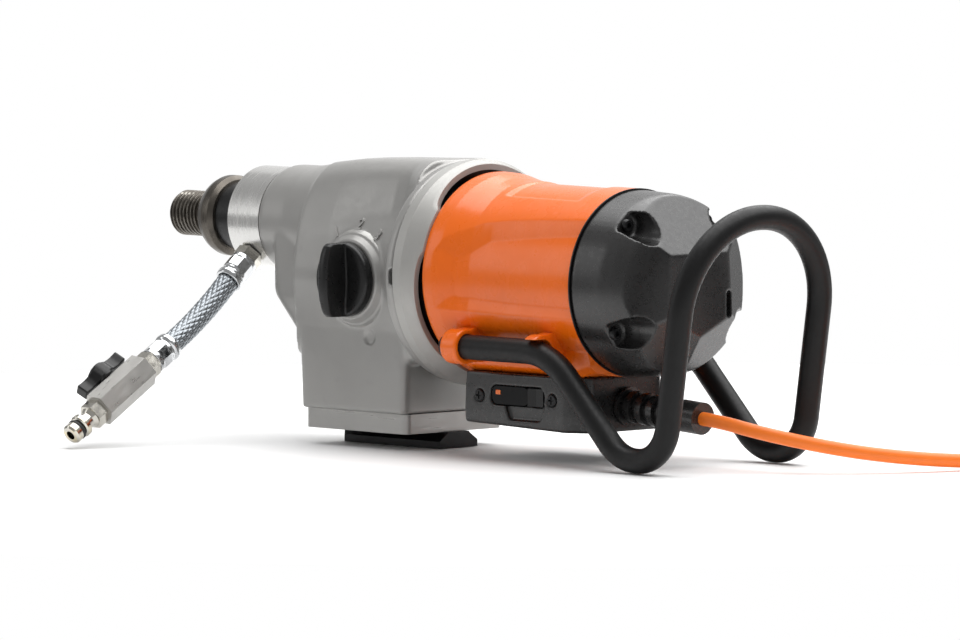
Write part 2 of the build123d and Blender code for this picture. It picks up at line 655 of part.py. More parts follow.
# The plug lies on top of the coil, along a chord, with its pins towards -Y.
plug_r = 19.0
plug_z = coil_height + plug_r + 0.1
plug_origin = (coil_centre[0] + 50, coil_centre[1] - 17, plug_z)
with BuildPart() as plug_body:
    turn([(-42, 0), (-42, 6.5), (-20, 9), (-18, 15), (-8, 17.5), (8, plug_r), (26, plug_r),
          (28, plug_r - 1.5), (28, 0)], plug_origin, (0, -1, 0))
save(plug_body.part, "plug_body")

with BuildPart() as plug_pins:
    for side in (-1, 1):
        turn([(28, 0), (28, 2.4), (46, 2.4), (47, 1.4), (47, 0)],
             (plug_origin[0] + side * 9.5, plug_origin[1], plug_z), (0, -1, 0))
save(plug_pins.part, "plug_pins")

# ---- water inlet: nipple, crimped hose, ball valve and coupler -------------------------
def on_nipple(distance):
    return tuple(a + distance * b for a, b in zip(collar_centre, nipple_dir))


valve_dir = (0, -cos(radians(31.8)), -sin(radians(31.8)))
valve_line = (hose_x, -104.0, 66.6)


def on_valve(distance):
    return tuple(a + distance * b for a, b in zip(valve_line, valve_dir))


hose_start = 46.0
crimp_length = 21.0
hose_route = [on_nipple(hose_start), on_nipple(44 + crimp_length), (hose_x, -62.6, 95.9),
              (hose_x, -85.0, 78.6), on_valve(0), on_valve(crimp_length - 2)]

with BuildPart() as water_nipple:
    drum(27, 37, 4, collar_centre, nipple_dir)
    hex_bar(37, 44, 9.8, collar_centre, nipple_dir)
    drum(44, 60, 3.4, collar_centre, nipple_dir)
save(water_nipple.part, "water_nipple")

with BuildPart() as hose_crimp_upper:
    turn([(44, 3.6), (44, 9.4), (61, 9.4), (62, 10.2), (65, 10.2), (65, 8.2), (46, 8.2),
          (46, 3.6)], collar_centre, nipple_dir)
save(hose_crimp_upper.part, "hose_crimp_upper")

with BuildPart() as water_hose:
    with BuildLine() as hose_path:
        FilletPolyline(*hose_route, radius=gentle_radii(hose_route))
    with BuildSketch(Plane(origin=hose_route[0], z_dir=nipple_dir)) as hose_section:
        Circle(hose_r)
        Circle(3.6, mode=Mode.SUBTRACT)
    sweep()
save(water_hose.part, "water_hose")

with BuildPart() as hose_crimp_lower:
    turn([(0, 8.3), (0, 10.2), (3, 10.2), (4, 9.4), (crimp_length, 9.4), (crimp_length, 3.8),
          (19.2, 3.8), (19.2, 8.3)], valve_line, valve_dir)
save(hose_crimp_lower.part, "hose_crimp_lower")

with BuildPart() as valve_union:
    hex_bar(crimp_length, 30, 9.8, valve_line, valve_dir)
    drum(6, crimp_length, 3.4, valve_line, valve_dir)
    drum(30, 38, 6, valve_line, valve_dir)
    drum(5, 39, 2.6, valve_line, valve_dir, mode=Mode.SUBTRACT)
save(valve_union.part, "valve_union")

valve_start = 30.0
valve_length = 49.0
ball_at = valve_start + valve_length / 2
stem_roll = radians(37)
stem_up = Vector(0, -sin(radians(31.8)), cos(radians(31.8)))
stem_dir = tuple(Vector(-cos(stem_roll), 0, 0) + stem_up * sin(stem_roll))
ball_centre = on_valve(ball_at)
valve_corner_r = 12.7

with BuildPart() as valve_body:
    hex_bar(valve_start, valve_start + valve_length, valve_corner_r, valve_line, valve_dir,
            spin=90 - 37)
    drum(valve_start, valve_start + valve_length, 6.05, valve_line, valve_dir,
         mode=Mode.SUBTRACT)
    with Locations(ball_centre):
        Sphere(8.2, mode=Mode.SUBTRACT)
    drum(7, 14, 3.06, ball_centre, stem_dir, mode=Mode.SUBTRACT)
save(valve_body.part, "valve_body")

with BuildPart() as valve_ball:
    with Locations(ball_centre):
        Sphere(7.9)
    drum(-9, 9, 4, ball_centre, valve_dir, mode=Mode.SUBTRACT)
    drum(7.0, 9, 4.2, ball_centre, stem_dir, mode=Mode.SUBTRACT)
save(valve_ball.part, "valve_ball")

with BuildPart() as valve_stem:
    drum(7.1, 18, 3, ball_centre, stem_dir)
save(valve_stem.part, "valve_stem")

wing_plane = Plane(origin=ball_centre, x_dir=valve_dir, z_dir=stem_dir)
with BuildPart() as valve_handle:
    drum(11.8, 24, 8, ball_centre, stem_dir)
    with BuildSketch(wing_plane.offset(13.5)) as wings:
        Rectangle(42, 6.5)
    extrude(amount=9)
    drum(11, 18.2, 3.05, ball_centre, stem_dir, mode=Mode.SUBTRACT)
save(valve_handle.part, "valve_handle")

coupler_start = valve_start + valve_length
coupler_line = on_valve(coupler_start)
with BuildPart() as hose_coupler:
    drum(-8, 0, 6, coupler_line, valve_dir)
    hex_bar(0, 9, 9.8, coupler_line, valve_dir)
    turn([(9, 0), (9, 7.6), (12, 6), (17, 6), (17, 8.3), (20, 8.3), (21, 7.2), (22, 5.4),
          (25, 5.4), (25, 7.2), (29, 7.2), (30.5, 6), (30.5, 0)], coupler_line, valve_dir)
    drum(-9, 31, 3.4, coupler_line, valve_dir, mode=Mode.SUBTRACT)
save(hose_coupler.part, "hose_coupler")

with BuildPart() as coupler_seal:
    turn([(22.3, 5.5), (22.1, 6.6), (22.9, 7.5), (24.1, 7.5), (24.9, 6.6), (24.7, 5.5)],
         coupler_line, valve_dir)
save(coupler_seal.part, "coupler_seal")
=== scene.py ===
"""Looks of the core drill motor unit: cast gear case, orange motor shell, hoses and cable.

Lengths named in millimetres are turned into metres by mm(). The frame is the CAD model's own:
+Z up, the spindle points along -X, and the speed selector faces -Y.
"""
import json
import math

import bmesh
import bpy
from mathutils import Matrix, Vector
from mathutils.bvhtree import BVHTree


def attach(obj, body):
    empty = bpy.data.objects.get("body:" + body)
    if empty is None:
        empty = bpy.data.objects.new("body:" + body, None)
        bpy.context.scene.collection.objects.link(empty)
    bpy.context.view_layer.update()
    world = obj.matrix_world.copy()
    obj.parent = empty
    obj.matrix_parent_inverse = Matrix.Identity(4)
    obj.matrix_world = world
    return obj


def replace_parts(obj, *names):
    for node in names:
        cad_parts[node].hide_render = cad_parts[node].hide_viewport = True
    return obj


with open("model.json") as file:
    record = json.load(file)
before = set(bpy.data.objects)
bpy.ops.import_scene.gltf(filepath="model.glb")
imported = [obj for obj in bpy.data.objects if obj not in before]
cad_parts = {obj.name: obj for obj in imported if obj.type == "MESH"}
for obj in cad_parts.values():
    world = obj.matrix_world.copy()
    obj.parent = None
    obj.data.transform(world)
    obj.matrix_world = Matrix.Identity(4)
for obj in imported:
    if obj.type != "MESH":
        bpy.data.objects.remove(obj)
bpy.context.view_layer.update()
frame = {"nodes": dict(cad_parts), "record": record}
nodes = frame["nodes"]

# ---- driving places, in millimetres --------------------------------------------------------
SPINDLE_Z = 149.75
MOTOR_Z = 121.5
KNOB_Z = 116.0
FOOT_TOP = 24.5
HOSE_X = -129.0
ROOT = "motor_unit"


def mm(*values):
    """Millimetres to metres: one number, or several as a Vector."""
    if len(values) == 1:
        return values[0] / 1000
    return Vector(value / 1000 for value in values)


# ---- camera ----------------------------------------------------------------------------------
VIEW_AZIMUTH = math.radians(46)
VIEW_ELEVATION = math.radians(4)
VIEW_TARGET = mm(71.2, 0, 88.8)
VIEW_DISTANCE = 8.219
to_camera = Vector((math.sin(VIEW_AZIMUTH) * math.cos(VIEW_ELEVATION),
                    -math.cos(VIEW_AZIMUTH) * math.cos(VIEW_ELEVATION),
                    math.sin(VIEW_ELEVATION)))


def make_camera():
    data = bpy.data.cameras.new("camera")
    data.lens = 450
    data.sensor_width = 36
    data.clip_end = 60
    camera = bpy.data.objects.new("camera", data)
    camera.location = VIEW_TARGET + to_camera * VIEW_DISTANCE
    camera.rotation_mode = "QUATERNION"
    camera.rotation_quaternion = (-to_camera).to_track_quat("-Z", "Y")
    bpy.context.scene.collection.objects.link(camera)
    bpy.context.scene.camera = camera


make_camera()


# ---- materials -------------------------------------------------------------------------------
class Look:
    """A node material with grain, colour variation and wear, built up a step at a time."""

    def __init__(self, name):
        self.material = bpy.data.materials.new(name)
        self.material.use_nodes = True
        self.tree = self.material.node_tree
        self.shader = self.tree.nodes["Principled BSDF"]
        self.place = self.node("ShaderNodeTexCoord").outputs["Object"]
        self.bump = None

    def node(self, kind, **settings):
        made = self.tree.nodes.new(kind)
        for key, value in settings.items():
            setattr(made, key, value)
        return made

    def link(self, source, target):
        self.tree.links.new(source, target)

    def set(self, **values):
        """Single values, straight on the shader's own sockets."""
        names = {"metal": "Metallic", "coat": "Coat Weight", "coat_rough": "Coat Roughness",
                 "specular": "Specular IOR Level"}
        for key, value in values.items():
            self.shader.inputs[names[key]].default_value = value
        return self

    def stretched(self, scale):
        """Object coordinates scaled by (x, y, z), for grain that runs one way."""
        mapping = self.node("ShaderNodeMapping")
        mapping.inputs["Scale"].default_value = scale
        self.link(self.place, mapping.inputs["Vector"])
        return mapping.outputs["Vector"]

    def grain(self, size, detail=4.0, scale=(1, 1, 1)):
        """Noise with features of about this size in millimetres."""
        texture = self.node("ShaderNodeTexNoise")
        texture.inputs["Scale"].default_value = 1000 / size
        texture.inputs["Detail"].default_value = detail
        self.link(self.stretched(scale), texture.inputs["Vector"])
        return texture.outputs["Fac"]

    def ramp(self, factor, low, high, low_at=0.3, high_at=0.7):
        ramp = self.node("ShaderNodeValToRGB")
        ramp.color_ramp.elements[0].position = low_at
        ramp.color_ramp.elements[1].position = high_at
        ramp.color_ramp.elements[0].color = (*low, 1)
        ramp.color_ramp.elements[1].color = (*high, 1)
        self.link(factor, ramp.inputs["Fac"])
        return ramp.outputs["Color"]

    def blend_colours(self, factor, first, second):
        mix = self.node("ShaderNodeMix", data_type="RGBA")
        self.link(factor, mix.inputs[0])
        self.link(first, mix.inputs[6])
        if isinstance(second, tuple):
            mix.inputs[7].default_value = (*second, 1)
        else:
            self.link(second, mix.inputs[7])
        return mix.outputs[2]

    def number_range(self, factor, low, high, low_at=0.3, high_at=0.7):
        span = self.node("ShaderNodeMapRange")
        for socket, value in zip(("From Min", "From Max", "To Min", "To Max"),
                                 (low_at, high_at, low, high)):
            span.inputs[socket].default_value = value
        self.link(factor, span.inputs["Value"])
        return span.outputs["Result"]

    def worn_edges(self, low=0.53, high=0.6):
        """1 on convex edges, broken up by noise."""
        sharp = self.number_range(self.node("ShaderNodeNewGeometry").outputs["Pointiness"],
                                  0, 1, low, high)
        broken = self.node("ShaderNodeMath", operation="MULTIPLY")
        self.link(sharp, broken.inputs[0])
        self.link(self.number_range(self.grain(6, 6), 0, 1, 0.42, 0.6), broken.inputs[1])
        return broken.outputs[0]

    def colour(self, base, spread=0.06, size=25):
        """Base colour with a soft change of tone over the surface."""
        low = tuple(max(0, c * (1 - spread)) for c in base)
        high = tuple(min(1, c * (1 + spread)) for c in base)
        self.colour_out = self.ramp(self.grain(size, 6), low, high)
        self.link(self.colour_out, self.shader.inputs["Base Color"])
        return self

    def wear(self, tone, low=0.53, high=0.6):
        """Bare metal or rubbed paint on the convex edges."""
        self.colour_out = self.blend_colours(self.worn_edges(low, high), self.colour_out, tone)
        self.link(self.colour_out, self.shader.inputs["Base Color"])
        return self

    def dirt(self, tone, size=14, amount_at=0.62):
        """Faint patches of dust or water marks."""
        patch = self.number_range(self.grain(size, 8), 0, 0.5, amount_at, 0.85)
        self.colour_out = self.blend_colours(patch, self.colour_out, tone)
        self.link(self.colour_out, self.shader.inputs["Base Color"])
        return self

    def roughness(self, low, high, size=8, scale=(1, 1, 1)):
        """Roughness that wanders between low and high over the surface."""
        self.link(self.number_range(self.grain(size, 6, scale), low, high),
                  self.shader.inputs["Roughness"])
        return self

    def relief(self, size, height, scale=(1, 1, 1), detail=3.0):
        """Bump of this grain size and height in millimetres, on top of earlier ones."""
        bump = self.node("ShaderNodeBump")
        bump.inputs["Distance"].default_value = mm(height)
        bump.inputs["Strength"].default_value = 1
        self.link(self.grain(size, detail, scale), bump.inputs["Height"])
        if self.bump is not None:
            self.link(self.bump, bump.inputs["Normal"])
        self.bump = bump.outputs["Normal"]
        self.link(self.bump, self.shader.inputs["Normal"])
        return self


def make_looks():
    """One finished material for each of the record's material slots."""
    made = {}

    def look(slot, base, spread=0.06, size=25):
        made[slot] = Look("look_" + slot).colour(base, spread, size)
        return made[slot]

    look("gear_case_paint", (0.31, 0.305, 0.295), 0.04, 40).wear((0.42, 0.42, 0.40)).dirt(
        (0.25, 0.245, 0.24)).roughness(0.30, 0.40, 5).relief(0.8, 0.012).relief(7, 0.03).set(
        metal=0.4)
    look("motor_shell_orange", (0.79, 0.133, 0.003), 0.03, 60).wear(
        (0.86, 0.2, 0.03)).roughness(0.24, 0.32, 12).relief(9, 0.008).set(
        coat=0.2, coat_rough=0.14, specular=0.35)
    look("charcoal_plastic", (0.014, 0.0135, 0.0135), 0.12, 18).roughness(
        0.25, 0.34, 3).relief(0.45, 0.01).set(specular=0.6)
    look("black_plastic", (0.005, 0.005, 0.0052), 0.15, 9).roughness(
        0.26, 0.4, 2).relief(0.4, 0.012).set(specular=0.35)
    look("window_gloss", (0.0025, 0.0025, 0.003), 0.2, 12).roughness(0.06, 0.12, 6).set(
        specular=0.1)
    look("bearing_flange_aluminium", (0.38, 0.375, 0.36), 0.04, 20).roughness(
        0.42, 0.52, 4, (3, 1, 1)).relief(0.7, 0.01).set(metal=0.5)
    look("collar_aluminium", (0.60, 0.595, 0.58), 0.03, 30).roughness(
        0.16, 0.3, 1.5, (1, 0.06, 0.06)).relief(0.5, 0.006, (1, 0.05, 0.05)).set(metal=0.85)
    look("foot_aluminium", (0.33, 0.325, 0.315), 0.04, 20).roughness(
        0.26, 0.38, 2, (0.05, 0.05, 1)).relief(0.5, 0.004, (0.06, 0.06, 1)).set(metal=0.7)
    look("plate_black", (0.012, 0.012, 0.013), 0.2, 12).roughness(
        0.3, 0.46, 4).relief(0.8, 0.012).set(metal=0.5)
    look("spindle_steel", (0.10, 0.09, 0.078), 0.14, 9).wear(
        (0.42, 0.40, 0.36), 0.52, 0.57).roughness(0.24, 0.42, 2, (1, 0.1, 0.1)).relief(
        0.35, 0.01, (1, 0.06, 0.06)).set(metal=0.95)
    look("gear_steel", (0.52, 0.52, 0.53), 0.06, 10).roughness(0.2, 0.36, 2).relief(
        0.4, 0.006, (0.1, 1, 1)).set(metal=1.0)
    look("screw_steel", (0.50, 0.50, 0.49), 0.08, 5).roughness(0.18, 0.36, 1.5).relief(
        0.5, 0.01).set(metal=1.0)
    look("nickel_brass", (0.56, 0.54, 0.49), 0.06, 7).wear((0.75, 0.66, 0.46)).roughness(
        0.1, 0.24, 3).relief(0.8, 0.008).set(metal=1.0)
    look("crimp_steel", (0.58, 0.59, 0.60), 0.05, 7).roughness(0.08, 0.22, 3).relief(
        1.5, 0.012).set(metal=1.0)
    look("valve_metal", (0.46, 0.45, 0.43), 0.05, 9).roughness(
        0.26, 0.4, 1.2, (1, 0.12, 0.12)).relief(0.45, 0.01).set(metal=0.9)
    look("braid_steel", (0.28, 0.30, 0.32), 0.12, 3).roughness(0.26, 0.42, 1).relief(
        0.25, 0.02).set(metal=0.9)
    look("loop_rubber", (0.005, 0.005, 0.0052), 0.12, 10).roughness(0.36, 0.5, 3).relief(
        0.5, 0.02).relief(9, 0.04).set(specular=0.25)
    look("seal_rubber", (0.012, 0.012, 0.012), 0.15, 6).roughness(0.45, 0.6, 2).relief(
        0.4, 0.01)
    look("cable_orange", (0.92, 0.20, 0.02), 0.05, 16).roughness(0.34, 0.46, 3).relief(
        0.8, 0.012).set(specular=0.4)
    look("plug_rubber", (0.017, 0.017, 0.018), 0.15, 8).roughness(0.45, 0.6, 2).relief(
        0.5, 0.02)
    look("laminations", (0.13, 0.13, 0.14), 0.1, 6).roughness(0.4, 0.55, 2).relief(
        0.5, 0.05, (1, 0.05, 0.05)).set(metal=0.8)
    look("copper", (0.72, 0.30, 0.14), 0.1, 4).roughness(0.25, 0.4, 2).relief(
        0.6, 0.08, (0.1, 1, 1)).set(metal=1.0)
    look("carbon", (0.03, 0.03, 0.03), 0.2, 3).roughness(0.5, 0.65, 2).relief(0.3, 0.01)
    look("board_green", (0.015, 0.09, 0.03), 0.1, 6).roughness(0.3, 0.45, 2).relief(
        0.6, 0.02)
    return {slot: built.material for slot, built in made.items()}


looks = make_looks()
slot_of_node = {row["node"]: row["material_slot"] for row in frame["record"]["subparts"]}


def dress_cad_nodes():
    """Every CAD node gets its slot's finished material."""
    for name, piece in nodes.items():
        piece.data.materials.clear()
        piece.data.materials.append(looks[slot_of_node[name]])


dress_cad_nodes()


# ---- mesh helpers ----------------------------------------------------------------------------
def linked(name, data):
    """A new object in the scene."""
    made = bpy.data.objects.new(name, data)
    bpy.context.scene.collection.objects.link(made)
    return made


def joined_mesh(name, meshes):
    """Several meshes as one."""
    joined = bmesh.new()
    for mesh in meshes:
        joined.from_mesh(mesh)
    data = bpy.data.meshes.new(name)
    joined.to_mesh(data)
    joined.free()
    return data


def mesh_of_curve(name, curve):
    """The mesh of a curve or a text."""
    holder = linked(name, curve)
    bpy.context.view_layer.update()
    mesh = bpy.data.meshes.new_from_object(holder)
    bpy.data.objects.remove(holder)
    return mesh


def new_piece(name, mesh, slot, body=ROOT, smooth=35):
    """A finished piece: material, smooth shading with sharp edges, and the body it rides on."""
    piece = linked(name, mesh)
    mesh.materials.clear()
    mesh.materials.append(looks[slot])
    if smooth:
        mesh.shade_smooth()
        mesh.set_sharp_from_angle(angle=math.radians(smooth))
    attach(piece, body)
    return piece


def rings_mesh(name, rings, closed_along=False, caps=True):
    """A skin over rings of points, each ring a closed loop with the same number of points."""
    mesh = bmesh.new()
    made = [[mesh.verts.new(point) for point in ring] for ring in rings]
    count = len(rings[0])
    pairs = list(zip(made, made[1:] + made[:1])) if closed_along else list(zip(made, made[1:]))
    for first, second in pairs:
        for index in range(count):
            after = (index + 1) % count
            mesh.faces.new((first[index], first[after], second[after], second[index]))
    if caps and not closed_along:
        mesh.faces.new(list(reversed(made[0])))
        mesh.faces.new(made[-1])
    bmesh.ops.recalc_face_normals(mesh, faces=mesh.faces)
    data = bpy.data.meshes.new(name)
    mesh.to_mesh(data)
    mesh.free()
    return data


def axis_frame(direction):
    """Three unit vectors: the axis, and two across it."""
    along = Vector(direction).normalized()
    helper = Vector((0, 0, 1)) if abs(along.z) < 0.9 else Vector((0, 1, 0))
    across = helper.cross(along).normalized()
    return along, across, along.cross(across)


def turned(name, profile, origin, direction=(1, 0, 0), steps=96, radius_at=None, shut=True):
    """A turned shape: profile is (distance along the axis, radius) in millimetres.

    radius_at(distance, angle, radius) may change the radius, as for a thread.
    """
    along, across, up = axis_frame(direction)
    origin = mm(*origin)
    rings = []
    for distance, radius in profile:
        ring = []
        for step in range(steps):
            angle = 2 * math.pi * step / steps
            size = radius_at(distance, angle, radius) if radius_at else radius
            ring.append(origin + along * mm(distance)
                        + (across * math.cos(angle) + up * math.sin(angle)) * mm(size))
        rings.append(ring)
    return rings_mesh(name, rings, closed_along=not shut, caps=shut)


def rounded(points, radius, steps=5, closed=False):
    """A polyline of 2-D points with its corners rounded, as a list of points."""
    made = []
    total = len(points)
    for index, here in enumerate(points):
        if not closed and index in (0, total - 1):
            made.append(tuple(here))
            continue
        here = Vector(here)
        to_before = Vector(points[index - 1]) - here
        to_after = Vector(points[(index + 1) % total]) - here
        reach = min(radius, to_before.length * 0.45, to_after.length * 0.45)
        first = here + to_before.normalized() * reach
        last = here + to_after.normalized() * reach
        for step in range(steps + 1):
            part = step / steps
            point = first * (1 - part) ** 2 + here * 2 * part * (1 - part) + last * part ** 2
            made.append(tuple(point))
    return made


def prism(name, outline, place, start, end):
    """An outline of 2-D points carried from start to end; place(a, b, depth) puts it in space."""
    rings = [[mm(*place(a, b, depth)) for a, b in outline] for depth in (start, end)]
    return rings_mesh(name, rings)


def lofted(name, sections):
    """sections are rings of (x, y, z) points in millimetres."""
    return rings_mesh(name, [[mm(*point) for point in ring] for ring in sections])


def box_mesh(name, low, high, round_by=0.0):
    """A box with optionally rounded vertical edges, in millimetres."""
    outline = [(low[0], low[1]), (high[0], low[1]), (high[0], high[1]), (low[0], high[1])]
    if round_by:
        outline = rounded(outline, round_by, closed=True)
    return prism(name, outline, lambda a, b, depth: (a, b, depth), low[2], high[2])


def apply_modifiers(piece):
    """The piece's mesh with its modifiers applied."""
    graph = bpy.context.evaluated_depsgraph_get()
    graph.update()
    return bpy.data.meshes.new_from_object(piece.evaluated_get(graph))


def cut_away(work, name, cuts):
    """The work object's mesh, less the closed meshes in cuts."""
    cutter = linked(name, joined_mesh(name, cuts))
    boolean = work.modifiers.new("cut", "BOOLEAN")
    boolean.operation = "DIFFERENCE"
    boolean.solver = "EXACT"
    boolean.use_self = True
    boolean.object = cutter
    finished = apply_modifiers(work)
    work.modifiers.clear()
    bpy.data.objects.remove(cutter)
    return finished


def cast_shape(name, solids, cuts=(), voxel=1.2, soften=5, soften_after=2):
    """Closed meshes melted into one cast shape: joined, softened, cut, and softened again."""
    work = linked(name + "_work", joined_mesh(name, solids))

    def remesh(amount):
        modifier = work.modifiers.new("remesh", "REMESH")
        modifier.mode = "VOXEL"
        modifier.voxel_size = mm(voxel)
        if amount:
            smooth = work.modifiers.new("soften", "SMOOTH")
            smooth.factor = 0.5
            smooth.iterations = amount
        finished = apply_modifiers(work)
        work.modifiers.clear()
        work.data = finished

    remesh(soften)
    if cuts:
        work.data = cut_away(work, name + "_cuts", cuts)
        remesh(soften_after)
    result = work.data
    bpy.data.objects.remove(work)
    result.name = name
    return result


def smoothstep(value, low=0.0, high=1.0):
    part = max(0.0, min(1.0, (value - low) / (high - low)))
    return part * part * (3 - 2 * part)


def between(table, at):
    """Straight-line reading of a list of (position, value) pairs."""
    if at <= table[0][0]:
        return table[0][1]
    for (x0, y0), (x1, y1) in zip(table, table[1:]):
        if at <= x1:
            return y0 + (y1 - y0) * (at - x0) / (x1 - x0)
    return table[-1][1]


# ---- cords -----------------------------------------------------------------------------------
def nurbs_line(name, points):
    """One open NURBS spline through control points given in metres."""
    curve = bpy.data.curves.new(name, "CURVE")
    curve.dimensions = "3D"
    spline = curve.splines.new("NURBS")
    spline.points.add(len(points) - 1)
    for control, point in zip(spline.points, points):
        control.co = (*point, 1)
    spline.order_u = 3
    spline.use_endpoint_u = True
    spline.resolution_u = 8
    return curve


CABLE_D = 9.4
BOOT_ANGLE = math.radians(3.9)
BOOT_LENGTH = 73.0
BOOT_START = (214.0, 0.0, 38.0)
BOOT_DIR = (math.cos(BOOT_ANGLE), 0.0, -math.sin(BOOT_ANGLE))
BOOT_END = tuple(a + BOOT_LENGTH * b for a, b in zip(BOOT_START, BOOT_DIR))
COIL_CENTRE = (492.0, 205.0)


def cable_points():
    """The cable's route to the floor, a coil of three layers of three turns, and the plug."""
    route = [BOOT_END, (303.8, 0, 31.87), (334, 4, 26.5), (368, 20, 19.5), (396, 50, 12.5),
             (416, 92, 7.4), (428, 138, 4.7), (431, 186, 4.7)]
    turns_r = (66.8, 57.3, 47.8)
    layers = [(4.8, turns_r), (14.3, turns_r[::-1]), (23.8, turns_r)]
    stations = [(z, radius) for z, radii in layers for radius in radii]
    per_turn = 16
    total = len(stations) * per_turn
    coil = []
    for step in range(4, total + 1):
        turn = min(step / per_turn, len(stations) - 1)
        index = min(int(turn), len(stations) - 2)
        part = smoothstep(turn - index, 0.75, 1.0)
        z = stations[index][0] * (1 - part) + stations[index + 1][0] * part
        radius = stations[index][1] * (1 - part) + stations[index + 1][1] * part
        angle = math.pi - 2 * math.pi * step / per_turn
        coil.append((COIL_CENTRE[0] + radius * math.cos(angle),
                     COIL_CENTRE[1] + radius * math.sin(angle), z))
    lead_in = [(434, 226, 4.7), (446, 247, 4.7), (464, 262, 4.7)]
    tail = [(446, 222, 30), (453, 247, 35.5), (470, 264, 37.5), (492, 271, 39), (514, 268, 42.5),
            (530, 257, 46.5), (539, 244, 49), (542, 231, 49.1)]
    return [tuple(mm(*point)) for point in route + lead_in + coil + tail]


def make_mains_cable():
    """The mains cable is one curve from the boot to the plug."""
    curve = nurbs_line("mains_cable_line", cable_points())
    curve.bevel_depth = mm(CABLE_D / 2)
    curve.bevel_resolution = 8
    curve.use_fill_caps = True
    curve.materials.append(looks["cable_orange"])
    cable = linked("mains_lead", curve)
    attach(cable, ROOT)
    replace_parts(cable, "mains_cable", "cable_coil")


make_mains_cable()

NIPPLE_ANGLE = math.radians(40)
NIPPLE_DIR = (0.0, -math.cos(NIPPLE_ANGLE), -math.sin(NIPPLE_ANGLE))
COLLAR_CENTRE = (HOSE_X, 0.0, SPINDLE_Z)
VALVE_ANGLE = math.radians(31.8)
VALVE_DIR = (0.0, -math.cos(VALVE_ANGLE), -math.sin(VALVE_ANGLE))
VALVE_LINE = (HOSE_X, -104.0, 66.6)
CRIMP_LENGTH = 21.0
HOSE_R = 7.75
BRAID_STRANDS = 14
BRAID_STEPS = 12 * BRAID_STRANDS


def on_line(start, direction, distance):
    """The point this far along a line."""
    return tuple(a + distance * b for a, b in zip(start, direction))


def hose_points():
    """The hose leaves the nipple's line and bends gently into the valve's."""
    return [on_line(COLLAR_CENTRE, NIPPLE_DIR, 46), on_line(COLLAR_CENTRE, NIPPLE_DIR, 65),
            (HOSE_X, -62.6, 95.9), (HOSE_X, -85.0, 78.6), VALVE_LINE,
            on_line(VALVE_LINE, VALVE_DIR, CRIMP_LENGTH - 2)]


def braid_height(around, along):
    """Height in millimetres of a woven wire braid at a place on the hose."""
    first = around * BRAID_STRANDS + along / 7.2
    second = around * BRAID_STRANDS - along / 7.2
    over = (math.floor(first) + math.floor(second)) % 2 == 0
    top = first if over else second
    under = second if over else first
    wires = 0.10 * math.sin(top % 1 * math.pi * 8) ** 2
    crown = math.sin(top % 1 * math.pi) ** 0.6 * math.sin(under % 1 * math.pi) ** 0.5
    return 0.62 * crown + wires


def make_water_hose():
    """A braided hose: the weave is in the mesh, laid along the hose's own spline."""
    line = nurbs_line("water_hose_line", [tuple(mm(*point)) for point in hose_points()])
    line.splines[0].resolution_u = 60
    path = [vertex.co.copy() for vertex in mesh_of_curve("water_hose_line", line).vertices]
    travelled = 0.0
    rings = []
    for index, point in enumerate(path):
        before = path[max(index - 1, 0)]
        after = path[min(index + 1, len(path) - 1)]
        if index:
            travelled += (point - before).length * 1000
        tangent = (after - before).normalized()
        across = Vector((1, 0, 0))
        up = tangent.cross(across)
        ring = []
        for step in range(BRAID_STEPS):
            share = step / BRAID_STEPS
            radius = mm(HOSE_R - 0.55 + braid_height(share, travelled))
            angle = 2 * math.pi * share
            ring.append(point + (across * math.cos(angle) + up * math.sin(angle)) * radius)
        rings.append(ring)
    hose = new_piece("braided_hose", rings_mesh("braided_hose", rings), "braid_steel", smooth=0)
    hose.data.shade_smooth()
    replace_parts(hose, "water_hose")


make_water_hose()


def hose_crimps():
    """Pressed ferrules: eight flats between a collar and a flared mouth."""
    def pressed(distance, angle, radius):
        share = smoothstep(distance, 3, 4) * (1 - smoothstep(distance, 12.5, 13.5))
        flat = math.cos(math.pi / 8) / math.cos(angle % (math.pi / 4) - math.pi / 8)
        return radius * (1 + (flat * 1.03 - 1) * share)
    profile = rounded([(0.2, 8.1), (0.2, 9.3), (3, 9.4), (4, 9.5), (12, 9.5), (13.5, 9.0),
                       (15.5, 8.7), (16.5, 9.9), (18, 10.2), (20.2, 9.9), (21, 9.4), (21, 8.1)],
                      0.5, steps=3)
    toward_nipple = tuple(-value for value in VALVE_DIR)
    for name, start, direction, node in (
            ("upper_ferrule", on_line(COLLAR_CENTRE, NIPPLE_DIR, 44), NIPPLE_DIR,
             "hose_crimp_upper"),
            ("lower_ferrule", on_line(VALVE_LINE, VALVE_DIR, CRIMP_LENGTH), toward_nipple,
             "hose_crimp_lower")):
        mesh = turned(name, profile, start, direction, steps=96, radius_at=pressed, shut=False)
        ferrule = new_piece(name, mesh, "crimp_steel", smooth=28)
        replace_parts(ferrule, node)


hose_crimps()

STEM_LEAN = math.radians(37)
STEM_DIR = (-math.cos(STEM_LEAN), -math.sin(STEM_LEAN) * math.sin(VALVE_ANGLE),
            math.sin(STEM_LEAN) * math.cos(VALVE_ANGLE))


